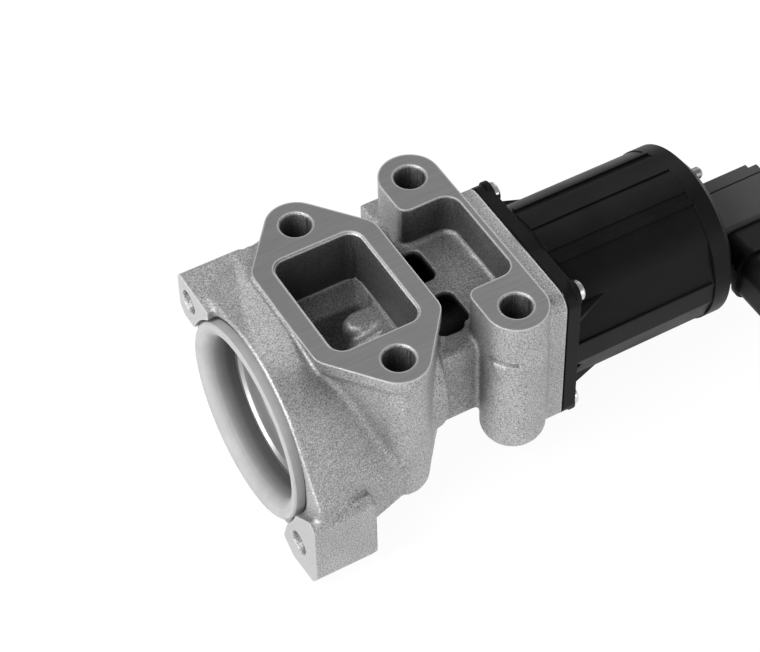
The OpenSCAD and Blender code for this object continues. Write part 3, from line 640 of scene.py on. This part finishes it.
def dress_nodes():
    """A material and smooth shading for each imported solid."""
    paint(turned_steel("turned_ring", 0.36, 0.8, 0.25, RING_DEPTH_SHADE), "mouth_ring")
    paint(turned_steel("dull_disc", 0.36, 0.4), "valve_disc")
    paint(turned_steel("ground_steel", 0.5, 0.22), "valve_shaft", "lead_screw", "disc_collar")
    paint(moulded("graphite", (0.03, 0.03, 0.03), 0.6), "mouth_seal")
    paint(moulded("black_nylon", (0.005, 0.005, 0.0055), 0.42, 0.02, shine=0.11), "actuator_housing",
          "end_cap", "connector_shell")
    paint(moulded("coarse_nylon", (0.045, 0.045, 0.047), 0.6, 0.09, shine=0.35), "terminal_cover")
    paint(moulded("gasket_fibre", (0.05, 0.05, 0.05), 0.7), "actuator_gasket", "shaft_seal")
    paint(moulded("silicone", (0.35, 0.06, 0.015), 0.5), "connector_seal")
    paint(moulded("acetal", (0.72, 0.68, 0.58), 0.4), "screw_guide")
    paint(moulded("green_board", (0.01, 0.12, 0.05), 0.3), "control_board")
    paint(moulded("magnet_grey", (0.07, 0.07, 0.075), 0.5, metallic=0.4), "rotor_magnet")
    paint(moulded("core_steel", (0.16, 0.165, 0.17), 0.45, metallic=0.7), "stator_core")
    paint(bright_metal("zinc", (0.72, 0.72, 0.72), 0.24), "actuator_screws", "screw_sleeves")
    paint(bright_metal("dull_screw", (0.34, 0.34, 0.34), 0.42), "end_screws")
    paint(bright_metal("spring_wire", (0.34, 0.34, 0.35), 0.35), "return_spring", "spring_seat",
          "spring_retainer", "retainer_clip", "wave_washer")
    paint(bright_metal("bearing", (0.62, 0.62, 0.63), 0.2), "front_bearing", "rear_bearing")
    paint(bright_metal("copper", (0.62, 0.28, 0.12), 0.3), "stator_coils")
    paint(bright_metal("brass", (0.66, 0.48, 0.2), 0.26), "rotor_nut", "connector_pins")
    paint(bright_metal("bronze", (0.4, 0.27, 0.12), 0.4), "guide_bush")
    for name in nodes:
        shade(nodes[name])


# Camera, light and stage

CAM_AZ = math.radians(29.95)
CAM_EL = math.radians(48.23)
CAM_ROLL = math.radians(-0.58)
CAM_FOCUS_PX = 2444.4
CAM_CENTRE_PX = (413.04, 320.72)
CAM_PLACE = Vector((-173.06, -394.32, 520.47)) * MM
SENSOR = 36.0
CLIP_START = 0.01
CLIP_END = 20.0
AIM = Vector((0.07, 0.0, 0.0))
LAMPS = (("key", (-0.5, 0.0, 0.6), (0.5, 0.5), 8.0),
         ("fill", (-0.9, -0.4, 0.12), (0.7, 0.4), 6.0),
         ("side", (0.6, -0.8, 0.2), (0.6, 0.4), 1.6),
         ("rim", (0.8, 0.5, 0.45), (0.4, 0.4), 2.6))
SKY_LIGHT = 0.33
FLOOR_HALF = 3.0
FLOOR_GAP = 0.2 * MM
FLOOR_TONE = 0.8
FLOOR_ROUGHNESS = 0.9
FLOOR_GLOW = 1.03
FLOOR_GLOW_SHARE = 0.92


def camera():
    """The camera that the photo's outline points were fitted to."""
    data = bpy.data.cameras.new("photo_camera")
    made = bpy.data.objects.new("photo_camera", data)
    bpy.context.scene.collection.objects.link(made)
    back = Vector((-math.sin(CAM_AZ) * math.cos(CAM_EL), -math.cos(CAM_AZ) * math.cos(CAM_EL),
                   math.sin(CAM_EL)))
    right = Vector((math.cos(CAM_AZ), -math.sin(CAM_AZ), 0))
    up = back.cross(right)
    turned_right = right * math.cos(CAM_ROLL) + up * math.sin(CAM_ROLL)
    turned_up = up * math.cos(CAM_ROLL) - right * math.sin(CAM_ROLL)
    basis = Matrix((turned_right, turned_up, back)).transposed().to_4x4()
    made.matrix_world = Matrix.Translation(CAM_PLACE) @ basis
    data.sensor_width = SENSOR
    data.lens = SENSOR * CAM_FOCUS_PX / IMAGE_W
    data.shift_x = (IMAGE_W / 2 - CAM_CENTRE_PX[0]) / IMAGE_W
    data.shift_y = (CAM_CENTRE_PX[1] - IMAGE_H / 2) / IMAGE_W
    data.clip_start = CLIP_START
    data.clip_end = CLIP_END
    bpy.context.scene.camera = made


def area_light(name, place, size, watts):
    """A soft lamp at a place, turned to the part."""
    data = bpy.data.lights.new(name, "AREA")
    data.shape = "RECTANGLE"
    data.size, data.size_y = size
    data.energy = watts
    made = bpy.data.objects.new(name, data)
    bpy.context.scene.collection.objects.link(made)
    made.location = place
    made.rotation_euler = (AIM - Vector(place)).to_track_quat("-Z", "Y").to_euler()


def seen_by(tree, *rays):
    """1 for the rays that are named and 0 for the light on the part."""
    path = add(tree, "ShaderNodeLightPath")
    found = path.outputs[rays[0]]
    for ray in rays[1:]:
        found = math_node(tree, "MAXIMUM", found, path.outputs[ray])
    return found


def floor(level):
    """A pale floor that reads as white and keeps the part's shadow."""
    corners = [(x * FLOOR_HALF, y * FLOOR_HALF, level) for x, y in ((-1, -1), (1, -1), (1, 1), (-1, 1))]
    mesh = bpy.data.meshes.new("floor")
    mesh.from_pydata(corners, [], [(0, 1, 2, 3)])
    made = raw_object("floor", mesh)
    pale, tree, shader = blank("pale_floor")
    shader.inputs["Base Color"].default_value = grey(FLOOR_TONE)
    shader.inputs["Roughness"].default_value = FLOOR_ROUGHNESS
    white = add(tree, "ShaderNodeEmission", {"Color": grey(1.0), "Strength": FLOOR_GLOW})
    seen = seen_by(tree, "Is Camera Ray", "Is Glossy Ray", "Is Transmission Ray")
    share = math_node(tree, "MULTIPLY", seen, FLOOR_GLOW_SHARE)
    both = add(tree, "ShaderNodeMixShader", {"Fac": share, 1: shader.outputs[0], 2: white.outputs[0]})
    tree.links.new(both.outputs[0], tree.nodes["Material Output"].inputs["Surface"])
    mesh.materials.append(pale)


def world():
    """White behind the part, and a weaker even light on it."""
    made = bpy.data.worlds.new("studio")
    bpy.context.scene.world = made
    made.use_nodes = True
    tree = made.node_tree
    back = tree.nodes["Background"]
    back.inputs["Color"].default_value = grey(1.0)
    seen = seen_by(tree, "Is Camera Ray", "Is Transmission Ray")
    strength = math_node(tree, "ADD", math_node(tree, "MULTIPLY", seen, 1 - SKY_LIGHT), SKY_LIGHT)
    tree.links.new(strength, back.inputs["Strength"])


def studio():
    """Lamps, sky and floor, with colours shown as they are."""
    for lamp in LAMPS:
        area_light(*lamp)
    world()
    floor(cad_box[0][2] - FLOOR_GAP)
    bpy.context.scene.view_settings.view_transform = "Standard"


dress_nodes()
shade(live_spring())
casting = cast_body()
casting.data.materials.clear()
casting.data.materials.append(cast_aluminium(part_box("housing")))
shade(casting, CAST_SHARP_ANGLE)
crisp_faces(casting.data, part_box("housing"))
camera()
studio()
